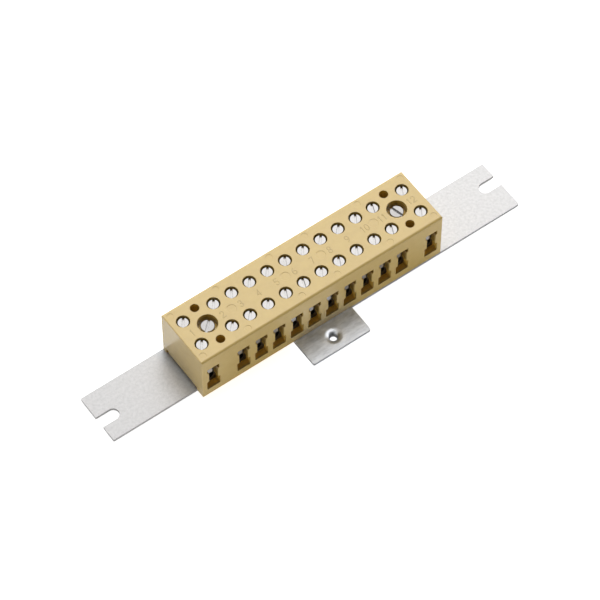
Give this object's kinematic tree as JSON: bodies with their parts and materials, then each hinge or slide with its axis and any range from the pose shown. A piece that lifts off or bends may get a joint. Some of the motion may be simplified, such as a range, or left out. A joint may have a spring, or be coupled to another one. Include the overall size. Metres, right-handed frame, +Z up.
{
  "type": "terminal block",
  "caption": "Feed-through screw terminal strip: a moulded housing with pillar contacts, on a slotted metal plate with a drawn tab hole.",
  "frame": {"origin": "on the mounting plate's underside, at the middle of the strip", "axes": "+X along the strip from pole 1 to pole 12, +Y from the tab side to the back, +Z up, out of the screws' tops"},
  "size_m": [0.1826, 0.038, 0.0258],
  "materials": {
    "housing_plastic": "tan moulded thermoset, semi-gloss",
    "plate_steel": "zinc-plated sheet, fine grain",
    "screw_steel": "bright zinc plating",
    "contact_brass": "tin-plated brass",
    "guard_steel": "plated spring steel strip"
  },
  "bodies": {
    "root": {"housing": "housing_plastic", "mounting_plate": "plate_steel", "terminal_screws": "screw_steel", "fixing_screws": "screw_steel", "contact_01": "contact_brass", "contact_02": "contact_brass", "contact_03": "contact_brass", "contact_04": "contact_brass", "contact_05": "contact_brass", "contact_06": "contact_brass", "contact_07": "contact_brass", "contact_08": "contact_brass", "contact_09": "contact_brass", "contact_10": "contact_brass", "contact_11": "contact_brass", "contact_12": "contact_brass", "wire_guard_front_01": "guard_steel", "wire_guard_back_01": "guard_steel", "wire_guard_front_02": "guard_steel", "wire_guard_back_02": "guard_steel", "wire_guard_front_03": "guard_steel", "wire_guard_back_03": "guard_steel", "wire_guard_front_04": "guard_steel", "wire_guard_back_04": "guard_steel", "wire_guard_front_05": "guard_steel", "wire_guard_back_05": "guard_steel", "wire_guard_front_06": "guard_steel", "wire_guard_back_06": "guard_steel", "wire_guard_front_07": "guard_steel", "wire_guard_back_07": "guard_steel", "wire_guard_front_08": "guard_steel", "wire_guard_back_08": "guard_steel", "wire_guard_front_09": "guard_steel", "wire_guard_back_09": "guard_steel", "wire_guard_front_10": "guard_steel", "wire_guard_back_10": "guard_steel", "wire_guard_front_11": "guard_steel", "wire_guard_back_11": "guard_steel", "wire_guard_front_12": "guard_steel", "wire_guard_back_12": "guard_steel"}
  },
  "joints": []
}
